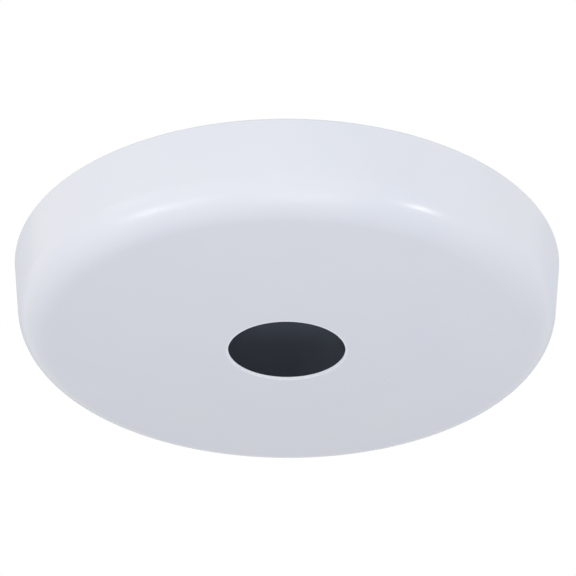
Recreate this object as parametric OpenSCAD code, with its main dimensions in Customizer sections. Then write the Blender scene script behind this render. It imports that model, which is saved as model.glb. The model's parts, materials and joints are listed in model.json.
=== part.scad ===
// Ceiling canopy for a light fixture: a shallow round pan drawn from one disc of sheet steel.
// It is modelled as it hangs: the face points down, and the open rim points up at the ceiling.
// The origin is at the centre of the outside of the face, on the axis of the centre hole.

/* [Pan] */
// Outside diameter across the open rim
rim_d = 127; // [100:0.5:180]
// Height from the outside of the face to the rim
depth = 19; // [14:0.5:40]
// Thickness of the sheet
sheet_t = 0.8; // [0.5:0.05:2]
// Outside radius of the rounded corner between the wall and the face
corner_r = 8; // [3:0.5:12]
// Angle that the wall leans in from upright, on its way from the rim down to the face
wall_draft = 8; // [0:0.5:20]

/* [Centre hole] */
// Diameter of the hole that takes the collar or strain relief
hole_d = 27; // [8:0.5:40]

/* [Edges] */
// Width of the small bevel on each trimmed edge, at the rim and round the hole
edge_break = 0.2; // [0.05:0.05:0.4]

/* [Smoothness] */
// Number of sides that a full turn is drawn with
turn_sides = 180; // [48:12:360]

/* [Hidden] */
rim_r = rim_d / 2;
hole_r = hole_d / 2;

// On a thin sheet the two bevels of an edge leave a flat land between them
bevel = min(edge_break, sheet_t / 3);

// Sideways lap that makes the corner's circle cross the wall line instead of only touching it
seam_lap = 0.002;

// Distance from the axis of the outer wall line at height z. It is widest where the rim's bevel starts
function wall_x(z) = rim_r - (depth - bevel - z) * tan(wall_draft);

// Distance from the axis, at height z, of the line that runs inside the wall line by inset
function inner_x(z, inset) = wall_x(z) - inset / cos(wall_draft);

// The corner's arc is centred one radius above the face and one radius inside the wall line
corner_x = inner_x(corner_r, corner_r);

// Half of the pan's filled outline, with its surface moved inwards by inset
module pan_outline(inset) {
    arc_r = corner_r - inset;
    face_end = [corner_x, inset];
    arc_centre = [corner_x, corner_r];
    wall_end = arc_centre + arc_r * [cos(wall_draft), -sin(wall_draft)];
    rim_end = [inner_x(depth, inset), depth];
    polygon([[0, inset], face_end, arc_centre, wall_end, rim_end, [0, depth]]);
    intersection() {
        translate(arc_centre + [seam_lap, 0]) circle(r = arc_r, $fn = turn_sides);
        translate(face_end) square([corner_r, depth - inset]);
    }
}

// Takes the corner off an edge, along the line from a to b and a little past both
module edge_cutter(a, b, outside) {
    polygon([2 * a - b, outside, 2 * b - a]);
}

// Bevels on both sides of the rim
module rim_cutters() {
    outer = [rim_r, depth - bevel];
    inner = [inner_x(depth - bevel, sheet_t), depth - bevel];
    edge_cutter(outer, outer + [-bevel, bevel], outer + 2 * [bevel, bevel]);
    edge_cutter(inner, inner + [bevel, bevel], inner + 2 * [-bevel, bevel]);
}

// The punched hole, with a bevel on its outer and inner edges
module hole_cutters() {
    outer = [hole_r, bevel];
    inner = [hole_r, sheet_t - bevel];
    square([hole_r, depth]);
    edge_cutter(outer, outer + [bevel, -bevel], outer - 2 * [bevel, bevel]);
    edge_cutter(inner, inner + [bevel, bevel], inner + 2 * [-bevel, bevel]);
}

// Cross-section of the sheet on one side of the axis
module sheet_section() {
    difference() {
        pan_outline(0);
        pan_outline(sheet_t);
        rim_cutters();
        hole_cutters();
    }
}

module canopy_shell() {
    color("white") rotate_extrude($fn = turn_sides) sheet_section();
}

canopy_shell();
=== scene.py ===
# %% [markdown]
# # A painted ceiling canopy
# A ceiling canopy is the shallow round pan that hides the box above a pendant light. A press draws
# it from one disc of sheet steel, punches the centre hole and trims the rim, and it is then sprayed
# with white powder and baked.
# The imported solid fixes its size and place. This lesson gives it a finer skin, its paint, a camera
# at the photograph's angle and a plain studio.

# %% Load the fixed frame
import json
import math

import bpy
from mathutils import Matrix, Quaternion, Vector
from mathutils.bvhtree import BVHTree


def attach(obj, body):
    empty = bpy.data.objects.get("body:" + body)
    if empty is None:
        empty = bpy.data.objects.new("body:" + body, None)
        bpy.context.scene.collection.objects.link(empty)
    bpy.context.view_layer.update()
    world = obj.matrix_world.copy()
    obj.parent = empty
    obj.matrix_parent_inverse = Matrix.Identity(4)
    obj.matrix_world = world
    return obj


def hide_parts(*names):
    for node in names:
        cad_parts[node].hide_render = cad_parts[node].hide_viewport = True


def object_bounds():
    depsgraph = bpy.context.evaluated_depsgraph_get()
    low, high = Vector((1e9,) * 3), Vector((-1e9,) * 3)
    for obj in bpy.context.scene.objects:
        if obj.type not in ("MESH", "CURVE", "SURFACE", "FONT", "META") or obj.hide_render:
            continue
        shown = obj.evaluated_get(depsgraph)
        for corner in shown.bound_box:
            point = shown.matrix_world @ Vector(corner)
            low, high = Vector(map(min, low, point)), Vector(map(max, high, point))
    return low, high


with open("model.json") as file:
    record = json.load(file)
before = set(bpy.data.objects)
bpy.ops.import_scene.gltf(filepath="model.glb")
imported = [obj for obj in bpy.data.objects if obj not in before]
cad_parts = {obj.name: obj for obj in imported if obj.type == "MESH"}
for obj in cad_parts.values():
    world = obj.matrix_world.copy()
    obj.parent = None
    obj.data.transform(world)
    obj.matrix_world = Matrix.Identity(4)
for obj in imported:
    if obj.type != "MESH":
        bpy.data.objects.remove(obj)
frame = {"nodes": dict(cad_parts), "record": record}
cad_low, cad_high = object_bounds()
print("CAD box:", [round(v, 4) for v in cad_low], [round(v, 4) for v in cad_high])

# %% [markdown]
# ## Sizes
# The frame already knows most sizes: the box gives the rim and the depth, and the record's mounts
# give the hole and the thickness of the sheet. They could be typed in again, but then two places
# could disagree. Only the corner, the lean of the wall and the small rounding of the cut edges are
# restated here, and a later cell measures whether they still agree with the solid.

# %% Read the sizes from the frame
MOUNTS = {mount["name"]: mount for mount in frame["record"]["mounts"]}
MM = 0.001
RIM_RADIUS = cad_high.x
DEPTH = cad_high.z
HOLE_RADIUS = MOUNTS["centre_hole"]["dims"]["r_mm"] * MM
SHEET = MOUNTS["nut_seat"]["pos_m"][2]
CORNER_RADIUS = 8.0 * MM
EDGE_RADIUS = 0.2 * MM
WALL_LEAN = math.radians(8.0)
print(f"rim {2 * RIM_RADIUS / MM:.1f} mm, depth {DEPTH / MM:.1f} mm, hole {2 * HOLE_RADIUS / MM:.1f} mm")

# %% [markdown]
# ## Camera
# The photograph looks up at the canopy from in front and below, through a long lens, so the near
# wall is at the top of the picture and the face below it. The values were found by matching the
# outline and the hole. The camera turns to place the canopy in the frame. A lens shift could do
# that too, but a turn is what a photographer does by hand, and the outline fits with it.

# %% Set the camera
LENS_MM = 109.44
SENSOR_MM = 36.0
NEAR_CLIP = 10 * MM
CAMERA_DISTANCE = 407.2 * MM
CAMERA_BELOW = math.radians(30.478)
CAMERA_ROLL = math.radians(0.160)
MIDDLE = Vector((0, 0, DEPTH / 2))
CAMERA_AIM = MIDDLE + Vector((0.24, -12.50, 0)) * MM


def add_object(name, data):
    """Puts a camera, a lamp or a mesh into the scene. Returns its object."""
    thing = bpy.data.objects.new(name, data)
    bpy.context.scene.collection.objects.link(thing)
    return thing


def make_camera():
    data = bpy.data.cameras.new("camera")
    data.lens = LENS_MM
    data.sensor_width = SENSOR_MM
    data.clip_start = NEAR_CLIP
    camera = add_object("camera", data)
    away = Vector((0, -math.cos(CAMERA_BELOW), -math.sin(CAMERA_BELOW)))
    camera.location = MIDDLE + away * CAMERA_DISTANCE
    camera.rotation_mode = "QUATERNION"
    level = (CAMERA_AIM - camera.location).to_track_quat("-Z", "Y")
    camera.rotation_quaternion = level @ Quaternion((0, 0, 1), CAMERA_ROLL)
    bpy.context.scene.camera = camera
    return camera


camera = make_camera()
bpy.context.scene.view_settings.view_transform = "Standard"
print("camera at", [round(v, 4) for v in camera.location])

# %% [markdown]
# ## Small helpers for node trees
# Geometry, shader and world trees are all built in the same way: add a node, set its properties,
# and wire sockets. Each tree could spell that out line by line. These helpers keep the trees below
# short enough to read.

# %% Node helpers


def add_node(tree, kind, **properties):
    node = tree.nodes.new(kind)
    for name, value in properties.items():
        setattr(node, name, value)
    return node


def feed(tree, socket, value):
    """Wires value into socket when it is a socket, and otherwise sets it as a constant."""
    if isinstance(value, bpy.types.NodeSocket):
        tree.links.new(value, socket)
    else:
        socket.default_value = value


def maths(tree, operation, *values):
    """One Math node. Returns its output socket."""
    node = add_node(tree, "ShaderNodeMath", operation=operation)
    for socket, value in zip(node.inputs, values):
        feed(tree, socket, value)
    return node.outputs[0]


def run_through(tree, nodes):
    """Wires each node's first output into the next node's first input."""
    for first, second in zip(nodes, nodes[1:]):
        tree.links.new(first.outputs[0], second.inputs[0])


print("helpers:", [helper.__name__ for helper in (add_node, feed, maths, run_through)])

# %% [markdown]
# ## The shell's cross-section
# A drawn pan is a body of revolution, so its whole shape follows from one cross-section of the
# sheet. It could be lathed from a long list of points, but only six of them matter: the two sides
# of the hole, of the corner and of the rim. Geometry Nodes suit that well, because the six points
# can be worked out from named sizes and stay right when a size changes.

# %% Named sizes and step counts of the tree
SECTION_SIZES = {
    "Rim Radius": RIM_RADIUS,
    "Depth": DEPTH,
    "Hole Radius": HOLE_RADIUS,
    "Sheet": SHEET,
    "Corner Radius": CORNER_RADIUS,
    "Edge Radius": EDGE_RADIUS,
    "Wall Lean": WALL_LEAN,
}
SECTION_COUNTS = {"Turn Steps": 360, "Corner Steps": 18, "Edge Steps": 5}
print("tree inputs:", list(SECTION_SIZES) + list(SECTION_COUNTS))

# %% The six points of the section


def wall_x(tree, size, z):
    """How far the outer wall line is from the axis at height z."""
    widest = maths(tree, "SUBTRACT", size["Depth"], size["Edge Radius"])
    below = maths(tree, "SUBTRACT", widest, z)
    slope = maths(tree, "TANGENT", size["Wall Lean"])
    return maths(tree, "SUBTRACT", size["Rim Radius"], maths(tree, "MULTIPLY", below, slope))


def section_point(tree, size, x, z):
    """A point of the section. The path is the hole's circle, so x is counted from the hole's edge."""
    node = add_node(tree, "ShaderNodeCombineXYZ")
    feed(tree, node.inputs["X"], maths(tree, "SUBTRACT", x, size["Hole Radius"]))
    feed(tree, node.inputs["Y"], z)
    return node.outputs[0]


def section_points(tree, size):
    """Hole edge, corner and rim along the outside, then back along the inside."""
    across = maths(tree, "DIVIDE", size["Sheet"], maths(tree, "COSINE", size["Wall Lean"]))
    rim_x = wall_x(tree, size, size["Depth"])
    corners = [
        (size["Hole Radius"], 0.0),
        (wall_x(tree, size, 0.0), 0.0),
        (rim_x, size["Depth"]),
        (maths(tree, "SUBTRACT", rim_x, across), size["Depth"]),
        (maths(tree, "SUBTRACT", wall_x(tree, size, size["Sheet"]), across), size["Sheet"]),
        (size["Hole Radius"], size["Sheet"]),
    ]
    return [section_point(tree, size, x, z) for x, z in corners]


# 1 for the points on the inside of the sheet, in the same order
INNER_SIDE = [0.0, 0.0, 0.0, 1.0, 1.0, 1.0]
print("points on the inside of the sheet:", int(sum(INNER_SIDE)), "of", len(INNER_SIDE))

# %% [markdown]
# ## Rounding the section
# A press can't fold sheet sharply, so the corner runs round a radius, and deburring and paint round
# the cut edges a little. A Bevel modifier could round the finished mesh, but Fillet Curve does it
# earlier and exactly, with a radius for each point. The large corner gets the outside radius on one
# side and the radius less the sheet on the other, so the sheet keeps its thickness round the bend.

# %% The closed and rounded cross-section


def choose_by_index(tree, data_type, values):
    """Gives point 0 the first value, point 1 the second and so on."""
    switch = add_node(tree, "GeometryNodeIndexSwitch", data_type=data_type)
    while len(switch.index_switch_items) < len(values):
        switch.index_switch_items.new()
    tree.links.new(add_node(tree, "GeometryNodeInputIndex").outputs[0], switch.inputs["Index"])
    for socket, value in zip(switch.inputs[1:], values):
        feed(tree, socket, value)
    return switch.outputs[0]


def build_section(tree, size):
    """Six points on a line, moved to their places, closed to a loop, marked and rounded."""
    line = add_node(tree, "GeometryNodeMeshLine")
    line.inputs["Count"].default_value = len(INNER_SIDE)
    curve = add_node(tree, "GeometryNodeMeshToCurve")
    closed = add_node(tree, "GeometryNodeSetSplineCyclic")
    closed.inputs["Cyclic"].default_value = True
    placed = add_node(tree, "GeometryNodeSetPosition")
    feed(tree, placed.inputs["Position"], choose_by_index(tree, "VECTOR", section_points(tree, size)))
    marked = add_node(tree, "GeometryNodeStoreNamedAttribute", data_type="FLOAT", domain="POINT")
    marked.inputs["Name"].default_value = "inner_side"
    feed(tree, marked.inputs["Value"], choose_by_index(tree, "FLOAT", INNER_SIDE))
    edge = (size["Edge Radius"], size["Edge Steps"])
    outer_bend = (size["Corner Radius"], size["Corner Steps"])
    inner_bend = (maths(tree, "SUBTRACT", size["Corner Radius"], size["Sheet"]), size["Corner Steps"])
    radii, steps = zip(edge, outer_bend, edge, edge, inner_bend, edge)
    rounded = add_node(tree, "GeometryNodeFilletCurve", mode="POLY")
    feed(tree, rounded.inputs["Radius"], choose_by_index(tree, "FLOAT", radii))
    feed(tree, rounded.inputs["Count"], choose_by_index(tree, "INT", steps))
    run_through(tree, [line, curve, closed, placed, marked, rounded])
    return rounded.outputs[0]


print(f"bend: {CORNER_RADIUS / MM:.1f} mm outside, {(CORNER_RADIUS - SHEET) / MM:.1f} mm inside")

# %% [markdown]
# ## Turning the section into a pan
# On the real canopy one round blank makes the whole pan. A Screw modifier or Spin could carry the
# section round, but Curve to Mesh stays in the same tree and closes the turn without doubles. The
# path is the hole's own circle, so the section starts at the hole's edge. The mark that the points
# carry then tells the inside of the sheet from the outside, and each side gets its own coat.

# %% Sweep and materials
# A face whose points have a mean mark above this lies wholly on the inside
WHOLLY_INSIDE = 0.75


def sweep_section(tree, size):
    """The section carried once round the axis, still with its rim pointing down."""
    path = add_node(tree, "GeometryNodeCurvePrimitiveCircle", mode="RADIUS")
    feed(tree, path.inputs["Resolution"], size["Turn Steps"])
    feed(tree, path.inputs["Radius"], size["Hole Radius"])
    upwards = add_node(tree, "GeometryNodeSetCurveNormal", mode="Z_UP")
    sweep = add_node(tree, "GeometryNodeCurveToMesh")
    tree.links.new(path.outputs["Curve"], upwards.inputs["Curve"])
    tree.links.new(upwards.outputs["Curve"], sweep.inputs["Curve"])
    tree.links.new(build_section(tree, size), sweep.inputs["Profile Curve"])
    return sweep


def coat_nodes(tree, size):
    """One coat on everything, then the other on the faces that are wholly inside the pan."""
    outside = add_node(tree, "GeometryNodeSetMaterial")
    inside = add_node(tree, "GeometryNodeSetMaterial")
    mark = add_node(tree, "GeometryNodeInputNamedAttribute", data_type="FLOAT")
    mark.inputs["Name"].default_value = "inner_side"
    chosen = maths(tree, "GREATER_THAN", mark.outputs["Attribute"], WHOLLY_INSIDE)
    feed(tree, outside.inputs["Material"], size["Outside Paint"])
    feed(tree, inside.inputs["Material"], size["Inside Paint"])
    feed(tree, inside.inputs["Selection"], chosen)
    return [outside, inside]


print("a face belongs to the inside from a mark of", WHOLLY_INSIDE)

# %% Geometry Nodes tree for the shell


def add_tree_sockets(tree):
    tree.interface.new_socket("Geometry", in_out="INPUT", socket_type="NodeSocketGeometry")
    for name in SECTION_SIZES:
        tree.interface.new_socket(name, in_out="INPUT", socket_type="NodeSocketFloat")
    for name in SECTION_COUNTS:
        tree.interface.new_socket(name, in_out="INPUT", socket_type="NodeSocketInt")
    for name in ("Outside Paint", "Inside Paint"):
        tree.interface.new_socket(name, in_out="INPUT", socket_type="NodeSocketMaterial")
    tree.interface.new_socket("Geometry", in_out="OUTPUT", socket_type="NodeSocketGeometry")


def build_shell_tree():
    tree = bpy.data.node_groups.new("revolved_shell", "GeometryNodeTree")
    add_tree_sockets(tree)
    size = add_node(tree, "NodeGroupInput").outputs
    sweep = sweep_section(tree, size)
    # Half a turn about X brings the rim up and the face down, as the canopy hangs
    upright = add_node(tree, "GeometryNodeTransform")
    upright.inputs["Rotation"].default_value = (math.pi, 0, 0)
    smooth = add_node(tree, "GeometryNodeSetShadeSmooth")
    real = add_node(tree, "GeometryNodeRealizeInstances")
    end = add_node(tree, "NodeGroupOutput")
    run_through(tree, [sweep, upright, smooth, real] + coat_nodes(tree, size) + [end])
    return tree


shell_tree = build_shell_tree()
print("shell tree:", len(shell_tree.nodes), "nodes")

# %% [markdown]
# ## Tools for the paint
# The paint has three effects: a dimpled skin, slow drifts with a few specks, and changes at the cut
# edges: darker edges with painted shade on the rim, and a bead with a painted highlight. Each could
# be drawn inside both materials. As node groups with named inputs they are built once, and each coat
# uses them with its own values. All of them read Object coordinates, which stay put on the piece
# from every side.

# %% Helpers for shader groups
FLOAT = "NodeSocketFloat"
COLOUR = "NodeSocketColor"


def new_group(name, inputs, outputs):
    """An empty shader group with its sockets. Returns the tree, its inputs and its output node."""
    tree = bpy.data.node_groups.new(name, "ShaderNodeTree")
    for label, kind in inputs.items():
        tree.interface.new_socket(label, in_out="INPUT", socket_type=kind)
    for label, kind in outputs.items():
        tree.interface.new_socket(label, in_out="OUTPUT", socket_type=kind)
    return tree, add_node(tree, "NodeGroupInput").outputs, add_node(tree, "NodeGroupOutput")


def object_place(tree):
    """Where a point lies on its own piece."""
    return add_node(tree, "ShaderNodeTexCoord").outputs["Object"]


def split_axes(tree, place):
    """The X, Y and Z of a place or a direction."""
    axes = add_node(tree, "ShaderNodeSeparateXYZ")
    feed(tree, axes.inputs[0], place)
    return axes.outputs


print("helpers:", [helper.__name__ for helper in (new_group, object_place, split_axes)])

# %% Helpers for patterns


def noise(tree, feature_size, detail):
    """Noise with features of the given size. Returns a value that swings round 0.5."""
    node = add_node(tree, "ShaderNodeTexNoise", noise_dimensions="3D")
    feed(tree, node.inputs["Vector"], object_place(tree))
    feed(tree, node.inputs["Scale"], maths(tree, "DIVIDE", 1.0, feature_size))
    feed(tree, node.inputs["Detail"], detail)
    return node.outputs["Fac"]


def swing(tree, feature_size, detail):
    """The same noise moved down to swing round 0, so a drift can add or take away."""
    return maths(tree, "SUBTRACT", noise(tree, feature_size, detail), 0.5)


def map_range(tree, value, from_values, to_values):
    """A smooth step from one pair of values to another. Returns its output socket."""
    node = add_node(tree, "ShaderNodeMapRange", interpolation_type="SMOOTHSTEP")
    feed(tree, node.inputs["Value"], value)
    for label, number in zip(("From Min", "From Max", "To Min", "To Max"), from_values + to_values):
        feed(tree, node.inputs[label], number)
    return node.outputs[0]


def fade_out(tree, distance, width):
    """1 at no distance, 0 from width on."""
    return map_range(tree, distance, (0.0, width), (1.0, 0.0))


print("helpers:", [helper.__name__ for helper in (noise, swing, map_range, fade_out)])

# %% Helpers for vectors


def scaled(tree, vector, factor):
    """A vector or a colour times a number."""
    node = add_node(tree, "ShaderNodeVectorMath", operation="SCALE")
    feed(tree, node.inputs[0], vector)
    feed(tree, node.inputs["Scale"], factor)
    return node.outputs[0]


def added(tree, first, second):
    node = add_node(tree, "ShaderNodeVectorMath", operation="ADD")
    feed(tree, node.inputs[0], first)
    feed(tree, node.inputs[1], second)
    return node.outputs[0]


def length_of(tree, vector):
    node = add_node(tree, "ShaderNodeVectorMath", operation="LENGTH")
    feed(tree, node.inputs[0], vector)
    return node.outputs["Value"]


print("helpers:", [helper.__name__ for helper in (scaled, added, length_of)])

# %% [markdown]
# ## Orange peel
# Powder melts and flows in the oven, but it sets before it is quite level, and that leaves the
# faintly dimpled skin that painters call orange peel. Real dents in the mesh would need millions of
# faces. They are only microns deep, so a bump in the material gives the same look. Broad dimples
# and a finer grain are added up, and the coat decides how large and how deep they are.

# %% Orange peel group


def build_orange_peel():
    """Height of the paint's skin, from broad dimples and a finer grain between them."""
    inputs = {"Dimple Size": FLOAT, "Grain Size": FLOAT, "Grain Share": FLOAT}
    tree, given, result = new_group("orange_peel", inputs, {"Height": FLOAT})
    dimples = noise(tree, given["Dimple Size"], detail=1.0)
    grain = noise(tree, given["Grain Size"], detail=2.0)
    height = maths(tree, "MULTIPLY_ADD", grain, given["Grain Share"], dimples)
    feed(tree, result.inputs["Height"], height)
    return tree


orange_peel = build_orange_peel()
print("group:", orange_peel.name, len(orange_peel.nodes), "nodes")

# %% [markdown]
# ## Paint film
# A sprayed film is never the same all over. It is thicker here and thinner there, which moves its
# tone, its tint and its gloss a little every one to three centimetres. Now and then a speck of dust
# is baked in under it. One flat colour would look like plastic, so slow noises shift the colour and
# the roughness, and a Voronoi texture drops a speck into a few of its cells.

# %% Specks of dust
SPECK_SPACING = 12 * MM
# Where a speck starts to fade and where it ends, as shares of the spacing
SPECK_EDGE = (0.012, 0.03)
SPECK_RARITY = 0.9


def build_specks(tree):
    """1 in the middle of a speck and 0 away from it. Only the cells above the rarity have one."""
    cells = add_node(tree, "ShaderNodeTexVoronoi", feature="F1")
    feed(tree, cells.inputs["Vector"], object_place(tree))
    feed(tree, cells.inputs["Scale"], 1.0 / SPECK_SPACING)
    spot = map_range(tree, cells.outputs["Distance"], SPECK_EDGE, (1.0, 0.0))
    chance = add_node(tree, "ShaderNodeSeparateColor")
    feed(tree, chance.inputs[0], cells.outputs["Color"])
    rare = maths(tree, "GREATER_THAN", chance.outputs[0], SPECK_RARITY)
    return maths(tree, "MULTIPLY", spot, rare)


print(f"specks end {SPECK_EDGE[1] * SPECK_SPACING / MM:.2f} mm from their middle")

# %% Paint film group
TONE_SIZE = 30 * MM
TINT_SIZE = 22 * MM
GLOSS_SIZE = 8 * MM
# How red, green and blue move against each other as the tint turns cooler
COOLER = (-1.0, -0.6, 0.4)


def build_paint_film():
    """Colour and roughness of the film. The three drifts say how far tone, tint and gloss wander."""
    inputs = {"Paint": COLOUR, "Drift": FLOAT, "Tint Drift": FLOAT, "Gloss": FLOAT}
    inputs.update({"Gloss Drift": FLOAT, "Speck Strength": FLOAT})
    tree, given, result = new_group("paint_film", inputs, {"Colour": COLOUR, "Roughness": FLOAT})
    tone = maths(tree, "MULTIPLY_ADD", swing(tree, TONE_SIZE, detail=3.0), given["Drift"], 1.0)
    speck = maths(tree, "MULTIPLY", build_specks(tree), given["Speck Strength"])
    paint = scaled(tree, given["Paint"], maths(tree, "SUBTRACT", tone, speck))
    tint = maths(tree, "MULTIPLY", swing(tree, TINT_SIZE, detail=2.0), given["Tint Drift"])
    feed(tree, result.inputs["Colour"], added(tree, paint, scaled(tree, COOLER, tint)))
    wander = swing(tree, GLOSS_SIZE, detail=2.0)
    roughness = maths(tree, "MULTIPLY_ADD", wander, given["Gloss Drift"], given["Gloss"])
    feed(tree, result.inputs["Roughness"], roughness)
    return tree


paint_film = build_paint_film()
print("group:", paint_film.name, len(paint_film.nodes), "nodes")

# %% [markdown]
# ## Edge shade and bead
# The colour is a little darker on the trimmed rim, as painted shade, and on the wall of the hole.
# Powder draws back from the hole's sharp edge as it melts and piles up beside it in a fat bead, which
# the bump raises, and the colour is lighter there as a painted highlight. Both could be painted as
# masks on a UV map. The pan is round, so the distance from its axis and the height give the same
# masks from plain numbers.

# %% Edge shade and bead group
HOLE_WALL_REACH = 0.02 * MM


def distance_from_axis(tree, axes):
    flat = add_node(tree, "ShaderNodeCombineXYZ")
    feed(tree, flat.inputs["X"], axes["X"])
    feed(tree, flat.inputs["Y"], axes["Y"])
    return length_of(tree, flat.outputs[0])


def build_edge_shade_and_bead():
    """Darker Edge is up to 1 on the cut edges, and on the rim it marks painted shade. Bead and Painted
    Highlight is 1 beside the hole and 0 in it and further out.
    """
    inputs = {"Hole Radius": FLOAT, "Rim Height": FLOAT, "Rim Width": FLOAT}
    inputs.update({"Bead Width": FLOAT, "Hole Share": FLOAT})
    tree, given, result = new_group("edge_shade_and_bead", inputs, {"Darker Edge": FLOAT, "Bead and Painted Highlight": FLOAT})
    axes = split_axes(tree, object_place(tree))
    from_hole = maths(tree, "SUBTRACT", distance_from_axis(tree, axes), given["Hole Radius"])
    from_rim = maths(tree, "SUBTRACT", given["Rim Height"], axes["Z"])
    in_hole = maths(tree, "LESS_THAN", from_hole, HOLE_WALL_REACH)
    darker_in_hole = maths(tree, "MULTIPLY", in_hole, given["Hole Share"])
    painted_shade_at_rim = fade_out(tree, from_rim, given["Rim Width"])
    feed(tree, result.inputs["Darker Edge"], maths(tree, "MAXIMUM", darker_in_hole, painted_shade_at_rim))
    not_in_hole = maths(tree, "SUBTRACT", 1.0, in_hole)
    beside = fade_out(tree, from_hole, given["Bead Width"])
    feed(tree, result.inputs["Bead and Painted Highlight"], maths(tree, "MULTIPLY", not_in_hole, beside))
    return tree


edge_shade_and_bead = build_edge_shade_and_bead()
print("group:", edge_shade_and_bead.name, len(edge_shade_and_bead.nodes), "nodes")

# %% [markdown]
# ## The two coats
# Both sides are the same white powder. The outside is sprayed full and flows out to a semi-gloss.
# The inside only catches what drifts in, so it is a little thinner, rougher and greyer. One material
# for both would be simpler, but would lose that. Everything that is the same all over a coat, such
# as its IOR, is set on the shader's own socket, and only what changes over the surface is wired.

# %% Values of the paint
OUTSIDE_WHITE = (0.80, 0.82, 0.87, 1.0)
INSIDE_WHITE = (0.74, 0.76, 0.80, 1.0)
PAINT_IOR = 1.5
PEEL_DEPTH = 0.008 * MM
INSIDE_PEEL_DEPTH = PEEL_DEPTH * 1.6
BEAD_HEIGHT = 0.10 * MM
# How much darker the cut edges are (painted shade on the rim), and how much lighter the bead is (a
# painted highlight)
EDGE_DARKENING = 0.14
BEAD_PAINTED_HIGHLIGHT = 0.16
FILM_VALUES = {"Tint Drift": 0.05, "Gloss Drift": 0.03, "Speck Strength": 0.25}
GRAIN_VALUES = {"Grain Size": 0.4 * MM, "Grain Share": 0.2}
EDGE_VALUES = {
    "Hole Radius": HOLE_RADIUS,
    "Rim Height": DEPTH,
    "Rim Width": 0.45 * MM,
    "Bead Width": 0.8 * MM,
    "Hole Share": 0.2,
}
print(f"peel {PEEL_DEPTH / MM:.3f} mm deep, bead {BEAD_HEIGHT / MM:.2f} mm high")

# %% One coat, from the three groups


def place_group(tree, group, values):
    node = add_node(tree, "ShaderNodeGroup", node_tree=group)
    for label, value in values.items():
        feed(tree, node.inputs[label], value)
    return node.outputs


def edge_tone(tree, edges):
    """How much the edges change the paint's brightness: darker on the cut edges, which on the rim is
    painted shade, and lighter on the bead, which is a painted highlight.
    """
    darker = maths(tree, "MULTIPLY_ADD", edges["Darker Edge"], -EDGE_DARKENING, 1.0)
    return maths(tree, "MULTIPLY_ADD", edges["Bead and Painted Highlight"], BEAD_PAINTED_HIGHLIGHT, darker)


def relief(tree, peel, edges, peel_depth):
    """One bump for both reliefs. The bead's height is the unit, and the peel is a share of it."""
    skin = maths(tree, "MULTIPLY", peel["Height"], peel_depth / BEAD_HEIGHT)
    bump = add_node(tree, "ShaderNodeBump")
    bump.inputs["Strength"].default_value = 1.0
    bump.inputs["Distance"].default_value = BEAD_HEIGHT
    feed(tree, bump.inputs["Height"], maths(tree, "ADD", skin, edges["Bead and Painted Highlight"]))
    return bump.outputs["Normal"]


def make_coat(name, paint, roughness, drift, peel_depth, dimple_size):
    material = bpy.data.materials.new(name)
    material.use_nodes = True
    tree = material.node_tree
    film_values = {"Paint": paint, "Drift": drift, "Gloss": roughness, **FILM_VALUES}
    film = place_group(tree, paint_film, film_values)
    edges = place_group(tree, edge_shade_and_bead, EDGE_VALUES)
    peel = place_group(tree, orange_peel, {"Dimple Size": dimple_size, **GRAIN_VALUES})
    shader = tree.nodes["Principled BSDF"]
    shader.inputs["IOR"].default_value = PAINT_IOR
    feed(tree, shader.inputs["Base Color"], scaled(tree, film["Colour"], edge_tone(tree, edges)))
    feed(tree, shader.inputs["Roughness"], film["Roughness"])
    feed(tree, shader.inputs["Normal"], relief(tree, peel, edges, peel_depth))
    return material


print("each coat uses:", [group.name for group in (paint_film, edge_shade_and_bead, orange_peel)])

# %% Make both coats
outside_coat = make_coat(
    "outside_coat", OUTSIDE_WHITE, roughness=0.25, drift=0.02,
    peel_depth=PEEL_DEPTH, dimple_size=1.6 * MM)
inside_coat = make_coat(
    "inside_coat", INSIDE_WHITE, roughness=0.48, drift=0.06,
    peel_depth=INSIDE_PEEL_DEPTH, dimple_size=1.1 * MM)
print("coats:", outside_coat.name, inside_coat.name)

# %% [markdown]
# ## Making the shell
# The modifier gets its sizes by socket identifier, because a modifier doesn't know its inputs by
# name, and it is evaluated once into a plain mesh. Before that, a Weighted Normal modifier lets the
# wide flat faces rule the shading next to the small rounded edges. Sharp edges would do that too,
# but they would break the highlight that runs over the roundings.

# %% Evaluate the tree into a plain mesh


def set_inputs(modifier, values):
    sockets = [item for item in modifier.node_group.interface.items_tree if item.in_out == "INPUT"]
    identifiers = {socket.name: socket.identifier for socket in sockets}
    for name, value in values.items():
        modifier[identifiers[name]] = value


def make_shell():
    raw = add_object("canopy_skin_raw", bpy.data.meshes.new("canopy_skin_raw"))
    revolve = raw.modifiers.new("revolve", "NODES")
    revolve.node_group = shell_tree
    coats = {"Outside Paint": outside_coat, "Inside Paint": inside_coat}
    set_inputs(revolve, {**SECTION_SIZES, **SECTION_COUNTS, **coats})
    raw.modifiers.new("flat_shading", "WEIGHTED_NORMAL").keep_sharp = True
    depsgraph = bpy.context.evaluated_depsgraph_get()
    mesh = bpy.data.meshes.new_from_object(raw.evaluated_get(depsgraph), depsgraph=depsgraph)
    mesh.name = "canopy_skin"
    bpy.data.objects.remove(raw)
    return add_object("canopy_skin", mesh)


shell = make_shell()
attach(shell, "root")
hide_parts("canopy_shell")
print("shell faces:", len(shell.data.polygons), "coats:", [m.name for m in shell.data.materials])

# %% [markdown]
# ## Does the skin fit the solid?
# The skin was built from its own numbers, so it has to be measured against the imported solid. Looking
# at both would miss a tenth of a millimetre. A search tree over the skin's triangles finds the
# nearest place for each of the solid's points, and the largest distance says how well they agree.

# %% Measure the skin against the solid


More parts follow.
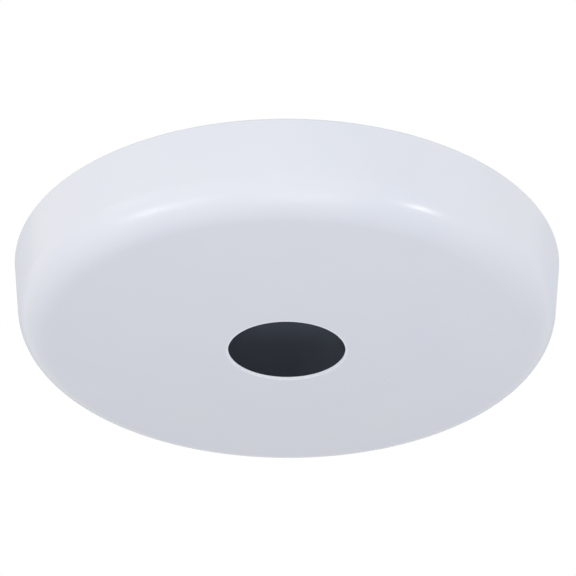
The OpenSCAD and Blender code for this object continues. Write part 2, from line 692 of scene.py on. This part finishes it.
def largest_gap(skin, solid):
    """Largest distance from the solid's points to the skin, in millimetres."""
    skin.data.calc_loop_triangles()
    points = [v.co for v in skin.data.vertices]
    surface = BVHTree.FromPolygons(points, [t.vertices[:] for t in skin.data.loop_triangles])
    return max(surface.find_nearest(v.co)[3] for v in solid.data.vertices) / MM


print(f"skin and solid agree to {largest_gap(shell, frame['nodes']['canopy_shell']):.3f} mm")

# %% [markdown]
# ## The studio's one-sided pieces
# The photograph looks up from below, and the other views look down, so one plain studio has to
# serve both. One scene can't swap studios between views, but a material can tell from which side
# it is seen. Each stage disc shows its surface only to a camera ray that meets its front, and is
# clear to every other ray, so it doesn't block the lamps.

# %% Material that shows on one side
WHITE = (1.0, 1.0, 1.0, 1.0)


def empty_material(name):
    material = bpy.data.materials.new(name)
    material.use_nodes = True
    material.node_tree.nodes.clear()
    return material


def mix_shaders(tree, factor, first, second):
    """The first shader where factor is 0, the second where it is 1."""
    mix = add_node(tree, "ShaderNodeMixShader")
    for socket, value in zip(mix.inputs, (factor, first, second)):
        feed(tree, socket, value)
    return mix.outputs[0]


def make_one_sided(name, make_surface):
    """Shows its surface to the camera on its front side, and is clear to everything else."""
    material = empty_material(name)
    tree = material.node_tree
    front = maths(tree, "SUBTRACT", 1.0, add_node(tree, "ShaderNodeNewGeometry").outputs["Backfacing"])
    camera_ray = add_node(tree, "ShaderNodeLightPath").outputs["Is Camera Ray"]
    clear = add_node(tree, "ShaderNodeBsdfTransparent").outputs[0]
    shown = mix_shaders(tree, maths(tree, "MULTIPLY", camera_ray, front), clear, make_surface(tree))
    feed(tree, add_node(tree, "ShaderNodeOutputMaterial").inputs["Surface"], shown)
    return material


print("helpers:", [helper.__name__ for helper in (empty_material, mix_shaders, make_one_sided)])

# %% Flat disc for the stage
DISC_SIDES = 128


def make_stage_disc(name, radius, height, make_surface, faces_up):
    """A level disc. The order of its corners decides which side is its front."""
    order = range(DISC_SIDES) if faces_up else range(DISC_SIDES, 0, -1)
    turns = [math.tau * step / DISC_SIDES for step in order]
    ring = [(radius * math.cos(turn), radius * math.sin(turn), height) for turn in turns]
    mesh = bpy.data.meshes.new(name)
    mesh.from_pydata(ring, [], [list(range(DISC_SIDES))])
    mesh.materials.append(make_one_sided(name, make_surface))
    disc = add_object(name, mesh)
    return disc


print("stage discs have", DISC_SIDES, "sides")

# %% [markdown]
# ## Floor
# The floor is pale and plain, and its only task is to hold the canopy's soft shadow when the camera
# looks down. A floor of one colour would end in a grey horizon. Here it fades into plain white away
# from the canopy, so it meets the background without a line.

# %% Make the floor
FLOOR_COLOUR = (0.873, 0.878, 0.893, 1.0)
FLOOR_FADE = (0.16, 0.60)
FLOOR_RADIUS = 6.0
FLOOR_HEIGHT = -0.1 * MM


def floor_surface(tree):
    """Pale under the canopy, where it holds the shadow, and plain white further out."""
    pale = add_node(tree, "ShaderNodeBsdfDiffuse")
    pale.inputs["Color"].default_value = FLOOR_COLOUR
    white = add_node(tree, "ShaderNodeEmission")
    white.inputs["Color"].default_value = WHITE
    whiteness = map_range(tree, length_of(tree, object_place(tree)), FLOOR_FADE, (0.0, 1.0))
    return mix_shaders(tree, whiteness, pale.outputs[0], white.outputs[0])


floor = make_stage_disc("studio_floor", FLOOR_RADIUS, FLOOR_HEIGHT, floor_surface, faces_up=True)
print(floor.name, "fades to white from", FLOOR_FADE[0], "to", FLOOR_FADE[1], "m")

# %% [markdown]
# ## Painted shade in the hole
# A real canopy is closed by the ceiling, which is why its hole looks dark. A black box inside would
# do the same, but it would fill the open pan when the camera looks down into it. A plate across the
# rim carries painted shade instead: its dark colour stands in for the shaded space. It faces down, so
# it shows only from below, and from above the open pan can be looked into.

# %% Make the plate
# Painted shade: a dark colour that stands in for the shaded space seen through the hole
PAINTED_SHADE_COLOUR = (0.040, 0.0445, 0.0535)
PLATE_RADIUS = RIM_RADIUS - 1.5 * SHEET
# How far behind the axis and to its right the painted shade changes, and how light it is at both ends
NEAR_SPAN = (12 * MM, 32 * MM)
NEAR_PAINTED_LIGHT = (1.36, 0.93)
RIGHT_SPAN = (0 * MM, 14 * MM)
RIGHT_PAINTED_LIGHT = (1.0, 1.22)


def painted_shade_surface(tree):
    """Painted shade for the dark space behind the hole, painted a little lighter towards the front and
    to the right, where light comes in by the hole.
    """
    axes = split_axes(tree, object_place(tree))
    near = map_range(tree, axes["Y"], NEAR_SPAN, NEAR_PAINTED_LIGHT)
    right = map_range(tree, axes["X"], RIGHT_SPAN, RIGHT_PAINTED_LIGHT)
    painted_shade = add_node(tree, "ShaderNodeBsdfDiffuse")
    feed(tree, painted_shade.inputs["Color"], scaled(tree, PAINTED_SHADE_COLOUR, maths(tree, "MULTIPLY", near, right)))
    return painted_shade.outputs[0]


plate = make_stage_disc("painted_shade_plate", PLATE_RADIUS, DEPTH, painted_shade_surface, faces_up=False)
print(f"{plate.name} {2 * PLATE_RADIUS / MM:.1f} mm across, at the height of the rim")

# %% [markdown]
# ## Grey cards
# White paint against white paper loses its edge, and photographers stand dark or grey cards beside
# the object to bring it back. The paint's edges mirror what is behind the canopy, so two grey cards
# stand there. Only reflections see them: they cast no light or shadow, and the camera looks through.

# %% Make the cards
CARD_GREY = (0.92, 0.95, 1.03, 1.0)
CARD_SIZE = 0.5
CARD_DISTANCE = 0.6
CARD_HEIGHT = 0.36


def make_card_mesh(name, azimuth):
    """An upright square that faces the canopy. Azimuth 0 is the camera's side, 90 is to its right."""
    turn = math.radians(azimuth)
    middle = Vector((math.sin(turn) * CARD_DISTANCE, -math.cos(turn) * CARD_DISTANCE, CARD_HEIGHT))
    side = Vector((math.cos(turn), math.sin(turn), 0)) * CARD_SIZE / 2
    up = Vector((0, 0, CARD_SIZE / 2))
    mesh = bpy.data.meshes.new(name)
    corners = [middle - side - up, middle + side - up, middle + side + up, middle - side + up]
    mesh.from_pydata(corners, [], [(0, 1, 2, 3)])
    return mesh


def make_grey_card(name, azimuth, brightness):
    material = empty_material(name)
    tree = material.node_tree
    grey = add_node(tree, "ShaderNodeEmission")
    grey.inputs["Color"].default_value = CARD_GREY
    grey.inputs["Strength"].default_value = brightness
    feed(tree, add_node(tree, "ShaderNodeOutputMaterial").inputs["Surface"], grey.outputs[0])
    card = add_object(name, make_card_mesh(name, azimuth))
    card.data.materials.append(material)
    card.visible_camera = card.visible_diffuse = False
    card.visible_transmission = card.visible_shadow = False
    return card


cards = [make_grey_card("left_card", -143, 0.70), make_grey_card("right_card", 143, 0.77)]
print("cards:", [card.name for card in cards])

# %% [markdown]
# ## Tent of light
# White objects are often photographed in a tent of white cloth, which lights them from all round.
# Here the world is the tent. Diffuse light finds it dim underfoot and bright overhead, which gives
# the wall and the face their two tones. The camera and reflections see plain white instead, so the
# background stays white and the paint mirrors an even studio.

# %% Make the world
TENT_BELOW = (0.366, 0.370, 0.399, 1.0)
TENT_ABOVE = (0.824, 0.820, 0.806, 1.0)


def tent_colour(tree):
    """Blends the two tones by the height of the direction, from straight down to straight up."""
    axes = split_axes(tree, add_node(tree, "ShaderNodeTexCoord").outputs["Generated"])
    blend = add_node(tree, "ShaderNodeMix", data_type="RGBA")
    feed(tree, blend.inputs["Factor"], maths(tree, "MULTIPLY_ADD", axes["Z"], 0.5, 0.5))
    below, above = [socket for socket in blend.inputs if socket.type == "RGBA"]
    below.default_value = TENT_BELOW
    above.default_value = TENT_ABOVE
    return next(socket for socket in blend.outputs if socket.type == "RGBA")


def make_world():
    """The camera and reflections see white. Diffuse light sees the tent."""
    world = bpy.data.worlds.new("studio")
    bpy.context.scene.world = world
    world.use_nodes = True
    tree = world.node_tree
    tree.nodes.clear()
    path = add_node(tree, "ShaderNodeLightPath").outputs
    seen = maths(tree, "MAXIMUM", path["Is Camera Ray"], path["Is Glossy Ray"])
    seen = maths(tree, "MAXIMUM", seen, path["Is Transmission Ray"])
    tent = add_node(tree, "ShaderNodeBackground")
    feed(tree, tent.inputs["Color"], tent_colour(tree))
    white = add_node(tree, "ShaderNodeBackground")
    white.inputs["Color"].default_value = WHITE
    background = mix_shaders(tree, seen, tent.outputs[0], white.outputs[0])
    feed(tree, add_node(tree, "ShaderNodeOutputWorld").inputs["Surface"], background)
    return world


world = make_world()
print("world:", world.name, len(world.node_tree.nodes), "nodes")

# %% [markdown]
# ## Soft boxes
# The two streaks on the corner are the mirror images of two soft boxes in front of and below the
# canopy. A box of the right size in the right place draws such a streak by itself, so nothing is
# painted on. A second, wider box softens the inner end of the left streak.

# %% Boxes that show in the paint
NEUTRAL = (1.0, 1.0, 1.0)


def soft_box(name, azimuth, elevation, distance, size, watts, shows=True, colour=NEUTRAL):
    """A rectangular lamp aimed at the canopy, in degrees and metres. Azimuths are as for the cards."""
    data = bpy.data.lights.new(name, "AREA")
    data.shape = "RECTANGLE"
    data.size, data.size_y = size
    data.energy = watts
    data.color = colour
    lamp = add_object(name, data)
    lamp.visible_glossy = shows
    turn, rise = math.radians(azimuth), math.radians(elevation)
    level = math.cos(rise)
    towards = Vector((math.sin(turn) * level, -math.cos(turn) * level, math.sin(rise)))
    lamp.location = MIDDLE + towards * distance
    lamp.rotation_mode = "QUATERNION"
    lamp.rotation_quaternion = towards.to_track_quat("Z", "Y")
    return lamp


boxes_that_show = [
    soft_box("left_box", -60, -34, 1.0, size=(0.16, 0.20), watts=0.72),
    soft_box("left_box_edge", -41, -38.5, 1.0, size=(0.35, 0.20), watts=0.36),
    soft_box("right_box", 55.3, -27.6, 1.0, size=(0.055, 0.12), watts=0.88),
]
print("boxes that show:", [lamp.name for lamp in boxes_that_show])

# %% [markdown]
# ## Fills
# The tent alone leaves the wall and the face a little flat. Fills raise them where the photograph
# is brighter. Each would add a streak of its own to the glossy paint, so they are hidden from
# reflections and only light.

# %% Fills that only light
COOL = (0.96, 0.985, 1.046)
fills = [
    soft_box("front_fill", 9, -51, 0.44, size=(0.2, 0.2), watts=0.495, shows=False, colour=COOL),
    soft_box("left_fill", -59, 5, 0.82, size=(0.3, 0.3), watts=1.20, shows=False),
    soft_box("right_fill", 63, 24, 0.82, size=(0.3, 0.3), watts=0.66, shows=False),
    soft_box("back_fill", 180, 35, 1.2, size=(0.8, 0.5), watts=5.0, shows=False),
]
print("fills:", [lamp.name for lamp in fills])
